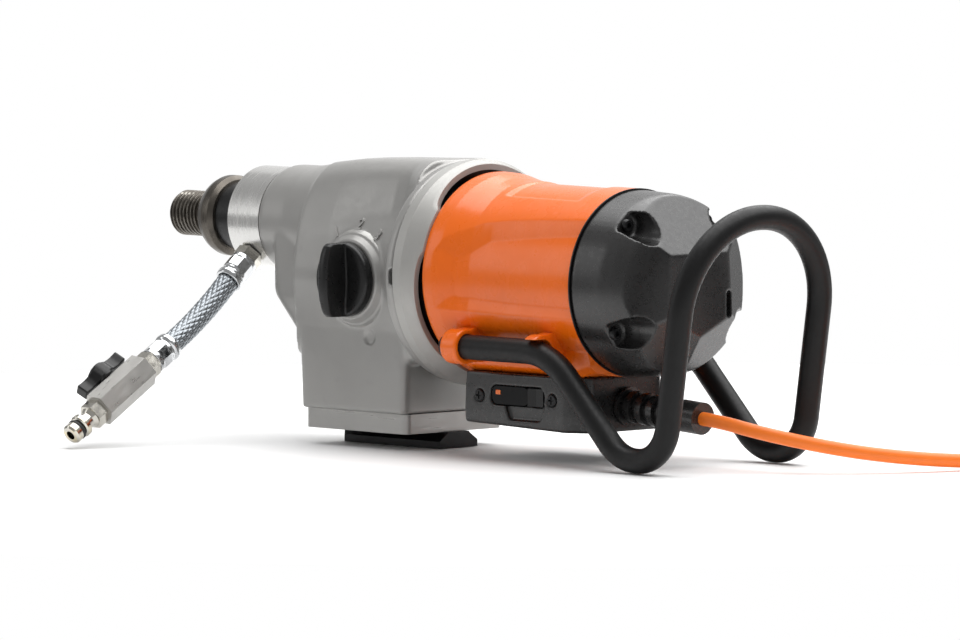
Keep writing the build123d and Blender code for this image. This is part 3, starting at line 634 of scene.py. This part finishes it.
def valve_wings():
    """The valve's butterfly handle: a hub and two thick wings in line with the pipe."""
    centre = Vector(on_line(VALVE_LINE, VALVE_DIR, 54.5))
    stem = Vector(STEM_DIR)
    pipe = Vector(VALVE_DIR)
    across = stem.cross(pipe)

    def place(a, b, depth):
        return centre + pipe * a + across * b + stem * depth
    half = [(-21, -4.4), (-14, -3.3), (-8.5, -4.4), (-5.5, -7), (0, -8), (5.5, -7), (8.5, -4.4),
            (14, -3.3), (21, -4.4)]
    outline = rounded(half + [(a, -b) for a, b in reversed(half)], 1.4, closed=True)
    wings = prism("wings", outline, place, 13.6, 22.4)
    hub = turned("hub", [(11.9, 7.6), (23.4, 7.8), (24.0, 7.0)], tuple(centre), STEM_DIR)
    dish = turned("dish", [(22.6, 3.2), (26, 3.8)], tuple(centre), STEM_DIR, steps=6)
    mesh = cast_shape("valve_wings", [wings, hub], [dish], voxel=0.45, soften=3, soften_after=1)
    piece = new_piece("valve_wings", mesh, "black_plastic", "valve_lever_body", smooth=50)
    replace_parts(piece, "valve_handle")


# ---- gear case -------------------------------------------------------------------------------
def case_ring(x, top, swell, dip):
    """Cross-section of the gear case at x: swell widens it, dip hollows the upper shoulder."""
    half = [(46.5, 60), (48.5, 85), (53 + swell, 117), (48 + swell, 148),
            (43 + swell - dip, 160), (38 + swell - dip * 0.6, 171), (30 + swell, top - 9),
            (17 + swell, top)]
    outline = [(-y, z) for y, z in half] + [(y, z) for y, z in reversed(half)]
    return [(x, y, z) for y, z in rounded(outline, 7, closed=True)]


def gear_case():
    """The cast case: body, foot, front web, nose and motor flange in one shape."""
    stations = [(-62.5, 189.5, -1.5, 0), (-60, 192.5, -0.4, 0), (-30, 196, 0, 0),
                (-12, 196.8, 0, 1.8), (2, 197.4, 0.2, 3.6), (24, 197.9, 0.8, 5.0),
                (36, 198.2, 2, 4.0), (46, 198.4, 6, 1), (54, 198.5, 11, 0)]
    body = lofted("case_body", [case_ring(*station) for station in stations])
    foot_levels = [(FOOT_TOP, -57, 46, 49), (60, -59, 46, 48.6), (79, -60.5, 46, 48.2),
                   (92, -62, 48, 48), (112, -62.5, 52, 48)]
    foot = lofted("case_foot", [
        [(a, b, z) for a, b in rounded([(x0, -y), (x1, -y), (x1, y), (x0, y)], 6, closed=True)]
        for z, x0, x1, y in foot_levels])
    web = lofted("case_web", [
        [(a, b, z) for a, b in rounded([(x, -y), (-40, -y), (-40, y), (x, y)], 6, closed=True)]
        for z, x, y in ((66, -58, 44), (70, -62, 43), (99, -95, 38), (104, -97, 38),
                        (150, -97.5, 38))])
    nose = turned("case_nose", rounded([(-113, 33.5), (-112.6, 36.5), (-109, 38.4),
                                        (-86, 38.6), (-62, 42), (-50, 43)], 3),
                  (0, 0, SPINDLE_Z))
    flange = turned("case_flange", [(48, 62), (54, 73.5), (57, 76.2), (64.2, 76.6)],
                    (0, 0, MOTOR_Z))
    boss = turned("case_boss", rounded([(38, 37), (46, 34.5), (50, 32), (54, 29)], 1),
                  (0, 0, KNOB_Z), (0, -1, 0))
    dimple = turned("case_dimple", [(46.6, 5), (60, 9)], (12, 0, 76), (0, -1, 0))
    shaft_hole = turned("case_shaft_hole", [(50, 8.6), (60, 8.6)], (0, 0, KNOB_Z), (0, -1, 0))
    flange_slot = box_mesh("case_flange_slot", (60, -90, 116), (66, -70, 127), 0.8)
    shape = cast_shape("gear_case", [body, foot, web, nose, flange, boss],
                       [dimple, shaft_hole, flange_slot], voxel=1.15, soften=4)
    case = new_piece("gear_case", shape, "gear_case_paint", smooth=50)
    collar = turned("selector_boss", rounded([(48, 34), (51.6, 31.8), (52.4, 30.4), (56.4, 27.6),
                                              (57, 26.6), (57, 9)], 0.7),
                    (0, 0, KNOB_Z), (0, -1, 0), shut=False)
    seam = turned("flange_seam", [(64.0, 68), (64.0, 76.2), (65.3, 76.2), (65.3, 68)],
                  (0, 0, MOTOR_Z), shut=False, steps=192)
    for name, mesh, slot in (("selector_boss", collar, "gear_case_paint"),
                             ("flange_seam", seam, "seal_rubber")):
        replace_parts(new_piece(name, mesh, slot), "gear_housing")
    return case


SELECTOR_THROW = 34
DIGIT_RADIUS = 37.2
DIGIT_PROUD = 1.3
DIGIT_ROOT = 0.8


def speed_digits(case):
    """The three speeds stand proud of the case round the selector knob."""
    shape = bmesh.new()
    shape.from_mesh(case.data)
    surface = BVHTree.FromBMesh(shape)
    shape.free()
    for digit, turn in (("1", -SELECTOR_THROW), ("2", 0), ("3", SELECTOR_THROW)):
        angle = math.radians(turn)
        curve = bpy.data.curves.new("digit_" + digit, "FONT")
        curve.body = digit
        curve.size = mm(10.5)
        curve.extrude = mm(1.1)
        curve.bevel_depth = mm(0.1)
        curve.align_x = "CENTER"
        curve.align_y = "CENTER"
        mesh = mesh_of_curve("digit_" + digit, curve)
        start = mm(DIGIT_RADIUS * math.sin(angle), -100,
                   KNOB_Z + DIGIT_RADIUS * math.cos(angle))
        stand = Matrix.Translation(start) @ Matrix.Rotation(math.pi / 2, 4, "X")
        mesh.transform(stand @ Matrix.Rotation(-angle, 4, "Z"))
        for vertex in mesh.vertices:
            above = mm(DIGIT_PROUD) if vertex.co.y < start.y else -mm(DIGIT_ROOT)
            ray_start = Vector((vertex.co.x, start.y, vertex.co.z))
            wall = surface.ray_cast(ray_start, Vector((0, 1, 0)))[0]
            vertex.co.y = wall.y - above
        new_piece("speed_digit_" + digit, mesh, "gear_case_paint", smooth=30)


speed_digits(gear_case())
valve_wings()


# ---- shapes drawn as a skin round the motor's axis ---------------------------------------------
def on_clock(radius, degrees):
    """Y and Z at this angle above the near side's level, round the motor's axis."""
    angle = math.radians(degrees)
    return -radius * math.cos(angle), MOTOR_Z + radius * math.sin(angle)


def motor_skin(name, outer, inner_gap, angle_steps, rows):
    """A shell round the motor's axis. outer(row, angle) gives (x, radius) in millimetres; angle
    is measured from -Y, the near side, upwards. The inner skin lies inner_gap further in."""
    def ring(row, gap):
        points = []
        for step in range(angle_steps):
            angle = 2 * math.pi * step / angle_steps
            x, radius = outer(row, angle)
            radius -= gap
            points.append(mm(x, -radius * math.cos(angle), MOTOR_Z + radius * math.sin(angle)))
        return points
    outside = [ring(row, 0.0) for row in rows]
    inside = [ring(row, inner_gap) for row in reversed(rows)]
    return rings_mesh(name, outside + inside, closed_along=True)


def near_angle(angle):
    """Degrees above the near or the far side's level, from -90 to 90."""
    return math.degrees(math.asin(max(-1.0, min(1.0, math.sin(angle)))))


def crescent(angle, centre, half_width):
    """1 in the middle of an arc of this half width in degrees, falling to 0 at its ends."""
    away = abs((math.degrees(angle) - centre + 180) % 360 - 180)
    return math.sqrt(max(0.0, 1 - (away / half_width) ** 2))


RING_R = 77.0
RING_END = 86.5
LIP_START = 74.4


def flange_ring():
    """The silver flange: a plain rim, then a lip cut away in crescents that let the air in."""
    def surface(row, angle):
        opening = 8.0 * crescent(angle, 88, 47)
        opening += 5.0 * (crescent(angle, -22, 36) + crescent(angle, 202, 36))
        end = RING_END - opening
        stops = [(65.0, RING_R), (65.6, RING_R + 0.6), (73.4, RING_R + 0.6), (LIP_START, RING_R)]
        if row < 4:
            return stops[row]
        share = (row - 4) / 6
        x = LIP_START + (end - LIP_START) * share
        slope = 5.0 * (x - LIP_START) / (RING_END - LIP_START)
        return x, RING_R - slope - (0.6 if row == 10 else 0)
    mesh = motor_skin("flange_ring", surface, 4.0, 288, range(11))
    ring = new_piece("flange_ring", mesh, "bearing_flange_aluminium", smooth=30)
    web = turned("flange_web", [(65.2, 40), (65.2, 73.6), (72, 73.6), (72, 40)],
                 (0, 0, MOTOR_Z), shut=False)
    plate = new_piece("flange_web", web, "black_plastic", smooth=30)
    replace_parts(ring, "bearing_flange")
    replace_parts(plate, "bearing_flange")


PANEL_TOP_OUTER = [(96, 15), (102, 23.8), (110, 28.5), (118.6, 32), (130, 36.9), (153, 40),
                   (181, 42.1), (218, 44)]
PANEL_TOP_INNER = [(104, 10), (112, 13.3), (123, 18), (137, 26), (151, 27.6), (179, 30.7),
                   (224, 34.4)]
PANEL_LOW_OUTER = [(96, -17), (115, -18.8), (158, -20.2), (223, -20.4)]
PANEL_LOW_INNER = [(104, -8), (113.5, -11.5), (160, -13.8), (223, -14.8)]
PANEL_DEPTH = 4.6
SKIRT_HALF = 46.0
SKIRT_DEPTH = 63.0


def shell_radius(x, angle):
    """Radius of the orange shell: round above, a flat-bottomed skirt below, a sunk side panel."""
    round_r = between([(86, 69.6), (90, 70.0), (100, 69.4), (112, 66.6), (122, 65.0), (140, 64.6),
                       (223, 64.0)], x)
    sine, cosine = math.sin(angle), abs(math.cos(angle))
    radius = round_r
    if sine < 0 and x > 92:
        skirt = min(SKIRT_HALF / max(cosine, 1e-6), SKIRT_DEPTH / max(-sine, 1e-6))
        skirt = min(skirt, 74.0)
        share = smoothstep(x, 92, 104) * (1 - 0.45 * smoothstep(x, 206, 224))
        wanted = max(round_r, skirt) if skirt > round_r else round_r
        if -sine > 0.75:
            wanted = max(skirt, 1.0)
        radius = round_r + (wanted - round_r) * share
    level = near_angle(angle)
    ramps = ((between(PANEL_TOP_OUTER, x) - level)
             / (between(PANEL_TOP_OUTER, x) - between(PANEL_TOP_INNER, x)),
             (level - between(PANEL_LOW_OUTER, x))
             / (between(PANEL_LOW_INNER, x) - between(PANEL_LOW_OUTER, x)),
             (x - 95.5) / 15.0)
    depth = max(0.0, min(1.0, *ramps))
    radius -= PANEL_DEPTH * depth
    crown = smoothstep(level, 60, 62) * smoothstep(x, 128, 134) * (1 - smoothstep(x, 196, 202))
    return radius - 1.2 * crown


SHELL_START = 86
SHELL_END = 223
SHELL_ROWS = 150


def motor_shell():
    """The orange shell, with its wall turned in at the cap, and the handle's clips."""
    columns = [SHELL_START + (SHELL_END - SHELL_START) * index / SHELL_ROWS
               for index in range(SHELL_ROWS + 1)]

    def surface(row, angle):
        x = columns[min(row, SHELL_ROWS)]
        radius = shell_radius(x, angle)
        if row == 0:
            return x, radius - 0.8
        if row == SHELL_ROWS + 1:
            return x + 0.3, min(radius, 57.0)
        return x, radius
    mesh = motor_skin("motor_shell", surface, 3.5, 400, range(SHELL_ROWS + 2))
    shell = new_piece("motor_shell", mesh, "motor_shell_orange", smooth=40)
    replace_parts(shell, "motor_housing")
    for side, name in ((-1, "near"), (1, "far")):
        for x0, x1, part in ((112, 127, "clip"), (190, 201, "tab")):
            shell_clip("handle_{}_{}".format(part, name), side, x0, x1, part == "tab")


GRIP_Y = 66.0
GRIP_Z = 76.5


def shell_clip(name, side, x0, x1, open_front):
    """A moulded saddle that carries the hand loop's tube against the motor shell."""
    y, z = side * GRIP_Y, GRIP_Z
    hub = turned(name + "_hub", rounded([(x0, 9), (x0, 12), (x1, 12), (x1, 9)], 1.5), (0, y, z))
    arm = prism(name + "_arm", rounded([(side * 42, z - 11), (y, z - 11), (y, z + 11),
                                        (side * 52, z + 14), (side * 42, z + 16)], 3,
                                       closed=True),
                lambda a, b, depth: (depth, a, b), x0 + 0.5, x1 - 0.5)
    cuts = [turned(name + "_bore", [(x0 - 5, 8.6), (x1 + 5, 8.6)], (0, y, z))]
    if open_front:
        low_y, high_y = sorted((side * 64, side * 90))
        cuts.append(box_mesh(name + "_front", (x0 - 5, low_y, z - 16), (x1 + 5, high_y, z + 8.6)))
        low_y, high_y = sorted((side * 57, side * 90))
        cuts.append(box_mesh(name + "_under", (x0 - 5, low_y, z - 16), (x1 + 5, high_y, z)))
    else:
        stub = turned(name + "_tube_end", rounded([(x0 - 6, 0.5), (x0 - 6, 7.6), (x0 + 1, 7.6)],
                                                  1.5), (0, y, z))
        new_piece(name + "_tube_end", stub, "loop_rubber", smooth=40)
    mesh = cast_shape(name, [hub, arm], cuts, voxel=0.7, soften=3, soften_after=1)
    clip = new_piece(name, mesh, "motor_shell_orange", smooth=40)
    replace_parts(clip, "motor_housing")


flange_ring()
motor_shell()

# ---- rear cap --------------------------------------------------------------------------------
CAP_POCKETS = ((48, 56.5), (-32, 57.5), (132, 56.5), (212, 57.5))


def rear_cap():
    """The dark cap: a turned shape with five flats, screw pockets and one slot."""
    profile = rounded([(223, 56), (223.2, 63.2), (251, 61.9), (262, 60.0), (275, 55), (281, 50),
                       (284, 43), (284.2, 38)], 2.5)
    body = turned("cap_body", profile, (0, 0, MOTOR_Z))
    mesh = bmesh.new()
    mesh.from_mesh(body)
    for degrees, lean, reach in ((4, 30, 260.5), (-66, 35, 250.5), (90, 36, 243.0),
                                 (176, 30, 260.5), (246, 35, 250.5)):
        angle = math.radians(degrees)
        tilt = math.radians(lean)
        normal = Vector((math.cos(tilt), -math.sin(tilt) * math.cos(angle),
                         math.sin(tilt) * math.sin(angle)))
        point = mm(0, 0, MOTOR_Z) + normal * mm(reach)
        cut = bmesh.ops.bisect_plane(mesh, geom=mesh.verts[:] + mesh.edges[:] + mesh.faces[:],
                                     plane_co=point, plane_no=normal, clear_outer=True)
        edges = [item for item in cut["geom_cut"] if isinstance(item, bmesh.types.BMEdge)]
        if edges:
            bmesh.ops.contextual_create(mesh, geom=edges)
    mesh.to_mesh(body)
    mesh.free()
    cuts = []
    for degrees, radius in CAP_POCKETS:
        y, z = on_clock(radius, degrees)
        cuts.append(turned("pocket", rounded([(251, 8), (252, 9.5), (262, 11.5), (300, 15)], 1.5),
                           (0, y, z), steps=40))
    slot = prism("cap_slot", rounded([(26, 100), (30, 100), (30, 118), (26, 118)], 1.9,
                                     closed=True),
                 lambda a, b, depth: (depth, a, b), 278, 300)
    shape = cast_shape("motor_cap", [body], cuts + [slot], voxel=0.9, soften=1, soften_after=3)
    cap = new_piece("motor_cap", shape, "charcoal_plastic", smooth=50)
    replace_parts(cap, "rear_cap")
    seam = turned("cap_seam", [(222.6, 61), (222.6, 64.15), (223.6, 64.15), (223.6, 61)],
                  (0, 0, MOTOR_Z), shut=False)
    new_piece("cap_seam", seam, "black_plastic", smooth=30)
    for index, (degrees, radius) in enumerate(CAP_POCKETS):
        y, z = on_clock(radius, degrees)
        screw_head("cap_screw_{}".format(index + 1), (251.0, y, z), (1, 0, 0), 4.3, 3.4,
                   "cap_screws", hexagon=True)


def screw_head(name, origin, direction, radius, height, node, hexagon=False):
    """A screw head with its recess cut in: a hexagon, or a cross."""
    head = turned(name, rounded([(-1, radius * 0.9), (0, radius), (height * 0.7, radius),
                                 (height, radius * 0.82)], 0.5), origin, direction, steps=40)
    along, across, up = axis_frame(direction)
    if hexagon:
        arms = [turned("recess", [(height * 0.3, radius * 0.52), (height + 2, radius * 0.52)],
                       origin, direction, steps=6)]
    else:
        arms = []
        for first, second in ((across, up), (up, across)):
            corners = [(first * a * radius * 0.62 + second * b * radius * 0.13)
                       for a, b in ((-1, -1), (1, -1), (1, 1), (-1, 1))]
            rings = [[mm(*origin) + along * mm(depth) + mm(*corner) for corner in corners]
                     for depth in (height * 0.35, height + 2)]
            arms.append(rings_mesh("recess", rings))
    work = linked(name + "_work", head)
    finished = cut_away(work, "recess", arms)
    bpy.data.objects.remove(work)
    screw = new_piece(name, finished, "plate_black", smooth=30)
    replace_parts(screw, node)


rear_cap()


# ---- spindle ---------------------------------------------------------------------------------
THREAD_PITCH = 25.4 / 7
THREAD_R = 15.875


def spindle():
    """A turned nose with a real right-hand thread."""
    def thread(distance, angle, radius):
        if not -227.5 <= distance <= -198.5 or radius < 12:
            return radius
        turn = angle / (2 * math.pi)
        phase = ((distance + 230) / THREAD_PITCH - turn) % 1
        height = max(0.0, 1 - abs(phase - 0.5) / 0.42)
        flat = min(height * 1.5, 1.0)
        ends = smoothstep(distance, -227.5, -225) * (1 - smoothstep(distance, -201, -198.5))
        return THREAD_R - 2.0 + 2.0 * flat * ends
    thread_steps = 190
    zone = [(-227.6 + 29.2 * step / thread_steps, THREAD_R - 2.0)
            for step in range(thread_steps + 1)]
    rest = rounded([(-198.2, 13.9), (-197, 14.2), (-196.6, 16.2), (-192, 20), (-190.4, 21.4),
                    (-189.6, 22.6), (-188, 24), (-184, 26.6), (-180, 28.2), (-174, 28.2),
                    (-171, 25.4), (-170.4, 22), (-108, 22), (-108, 20), (-66, 20), (-66, 12),
                    (63, 12), (63, 7), (72, 7)], 0.5, steps=3)
    profile = [(-150, 5.9), (-226.4, 5.9), (-228, 7.4), (-228, 12.2)] + zone + rest
    mesh = turned("spindle_nose", profile, (0, 0, SPINDLE_Z), steps=120, radius_at=thread)
    piece = new_piece("spindle_nose", mesh, "spindle_steel", "spindle_body", smooth=40)
    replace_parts(piece, "spindle")
    neck = turned("spindle_neck", [(-171.6, 22.2), (-171.6, 23.6), (-152.2, 23.6),
                                   (-152.2, 22.2)], (0, 0, SPINDLE_Z), shut=False)
    new_piece("spindle_neck", neck, "black_plastic", "spindle_body", smooth=30)


spindle()


# ---- selector knob ---------------------------------------------------------------------------
def selector_knob():
    """A round knob with a crowned bar across it."""
    disc = turned("knob_disc", rounded([(57.5, 24), (57.5, 25.6), (62.5, 25.6), (64.2, 24.2),
                                        (64.6, 20), (64.0, 4), (64.0, 1)], 0.8),
                  (0, 0, KNOB_Z), (0, -1, 0))
    levels = []
    steps = 28
    for index in range(steps + 1):
        share = -1 + 2 * index / steps
        z = KNOB_Z + 25.2 * share
        crest = -75.5 - 7.2 * math.sqrt(max(0.0, 1 - share * share))
        half = 4.4 + 0.9 * (1 - share * share)
        outline = [(-half - 0.8, -62), (-half, -70), (-half * 0.86, crest + 1.2),
                   (-half * 0.4, crest), (half * 0.4, crest), (half * 0.86, crest + 1.2),
                   (half, -70), (half + 0.8, -62)]
        levels.append([(a, b, z) for a, b in rounded(outline, 1.2, steps=3, closed=True)])
    bar = lofted("knob_bar", levels)
    shape = cast_shape("speed_knob", [disc, bar], voxel=0.6, soften=3)
    knob = new_piece("speed_knob", shape, "black_plastic", "selector_body", smooth=50)
    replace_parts(knob, "selector_knob")


selector_knob()


# ---- switch box ------------------------------------------------------------------------------
WINDOW = (128.6, 181.0, 36.5, 50.0)
BOX_START = 103
BOX_SCREWS = ((118.0, -1), (188.2, -1), (118.0, 1), (188.2, 1))
BOX_SCREW_Z = 42.2


def switch_box():
    """The electronics box, with its window, finger scoop and screws."""
    plan = [(BOX_START, -46), (201, -46), (214, -33), (214, 33), (201, 46), (BOX_START, 46)]
    outline = rounded(plan, 2.5, closed=True)

    def level(z, inset):
        ring = []
        for x, y in outline:
            middle = Vector((158.5, 0))
            point = Vector((x, y))
            share = 1 - inset / 50
            point = middle + (point - middle) * share
            drop = (x - BOX_START) / 111 * 3.1 if z < 30 else 0
            ring.append((point.x, point.y, z - drop))
        return ring
    body = lofted("box_body", [level(23.4, 1.4), level(24.6, 0.2), level(31, 0), level(45, 0.2),
                               level(58.4, 0.8)])
    x0, x1, z0, z1 = WINDOW
    middle_z = (z0 + z1) / 2
    window = prism("box_window", rounded([(x0, z0), (x1, z0), (x1, z1), (x0, z1)], 6,
                                         closed=True),
                   lambda a, b, depth: (a, depth, b), -60, -41.5)
    scoop = prism("box_scoop", rounded([(147, 26.8), (177, 26.8), (182, z0 + 3), (142, z0 + 3)],
                                       3, closed=True),
                  lambda a, b, depth: (a, depth, b), -60, -43.2)
    cuts = [window, scoop]
    for x, side in sorted(BOX_SCREWS):
        cuts.append(turned("box_pocket", [(44.6, 4.9), (60, 5.2)], (x, 0, BOX_SCREW_Z),
                           (0, side, 0), steps=32))
    shape = cast_shape("switch_case", [body], cuts, voxel=0.8, soften=3, soften_after=2)
    box = new_piece("switch_case", shape, "charcoal_plastic", smooth=50)
    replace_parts(box, "switch_box")
    for index, (x, side) in enumerate(BOX_SCREWS):
        screw_head("box_screw_{}".format(index + 1), (x, side * 44.4, BOX_SCREW_Z),
                   (0, side, 0), 4.4, 2.0, "box_screws")
    pane = prism("display_pane", rounded([(x0 + 0.6, z0 + 0.6), (164.6, z0 + 0.6),
                                          (164.6, z1 - 0.6), (x0 + 0.6, z1 - 0.6)], 5.4,
                                         closed=True),
                 lambda a, b, depth: (a, depth, b), -44.6, -41.6)
    glass = new_piece("display_pane", pane, "window_gloss", smooth=30)
    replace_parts(glass, "display_window")
    symbol = prism("status_light", rounded([(133, middle_z + 0.4), (137.5, middle_z + 0.4),
                                            (137.5, middle_z + 3.4), (133, middle_z + 3.4)], 0.7,
                                           closed=True),
                   lambda a, b, depth: (a, depth, b), -44.9, -44.4)
    new_piece("status_light", symbol, "motor_shell_orange", smooth=30)


switch_box()


# ---- floor and light -------------------------------------------------------------------------
def plain_material(name, colour, rough):
    """An even material for the floor."""
    material = bpy.data.materials.new(name)
    material.use_nodes = True
    shader = material.node_tree.nodes["Principled BSDF"]
    shader.inputs["Base Color"].default_value = (*colour, 1)
    shader.inputs["Roughness"].default_value = rough
    return material


FLOOR_RADIUS = 0.85


def make_stage():
    """A pale round floor, and a grey surrounding that the camera sees as white."""
    shape = bmesh.new()
    bmesh.ops.create_circle(shape, cap_ends=True, segments=128, radius=FLOOR_RADIUS,
                            matrix=Matrix.Translation((0.15, 0.03, -0.0004)))
    mesh = bpy.data.meshes.new("floor")
    shape.to_mesh(mesh)
    shape.free()
    mesh.materials.append(plain_material("floor_white", (0.9, 0.9, 0.9), 0.6))
    linked("floor", mesh)
    world = bpy.data.worlds.new("studio")
    world.use_nodes = True
    background = world.node_tree.nodes["Background"]
    background.inputs["Color"].default_value = (1, 1, 1, 1)
    background.inputs["Strength"].default_value = 0.4
    backdrop = world.node_tree.nodes.new("ShaderNodeBackground")
    backdrop.inputs["Color"].default_value = (1, 1, 1, 1)
    backdrop.inputs["Strength"].default_value = 1.0
    seen = world.node_tree.nodes.new("ShaderNodeLightPath")
    mix = world.node_tree.nodes.new("ShaderNodeMixShader")
    links = world.node_tree.links
    links.new(seen.outputs["Is Camera Ray"], mix.inputs[0])
    links.new(background.outputs[0], mix.inputs[1])
    links.new(backdrop.outputs[0], mix.inputs[2])
    links.new(mix.outputs[0], world.node_tree.nodes["World Output"].inputs["Surface"])
    bpy.context.scene.world = world


def area_light(name, place, target, size, power):
    """A rectangular lamp that faces the target."""
    data = bpy.data.lights.new(name, "AREA")
    data.shape = "RECTANGLE"
    data.size, data.size_y = size
    data.energy = power
    light = linked(name, data)
    light.location = place
    light.visible_camera = False
    light.rotation_mode = "QUATERNION"
    light.rotation_quaternion = (Vector(target) - Vector(place)).to_track_quat("-Z", "Y")


make_stage()
area_light("overhead", (0.15, 0.45, 1.5), (0.1, 0, 0), (2.4, 2.2), 58)
area_light("side", (-1.4, -1.5, 0.9), (0, 0, 0.1), (0.5, 1.2), 3)
area_light("backdrop", (-1.35, 1.4, 0.75), (0.07, 0, 0.15), (3.2, 1.5), 7)
bpy.context.scene.view_settings.view_transform = "Standard"
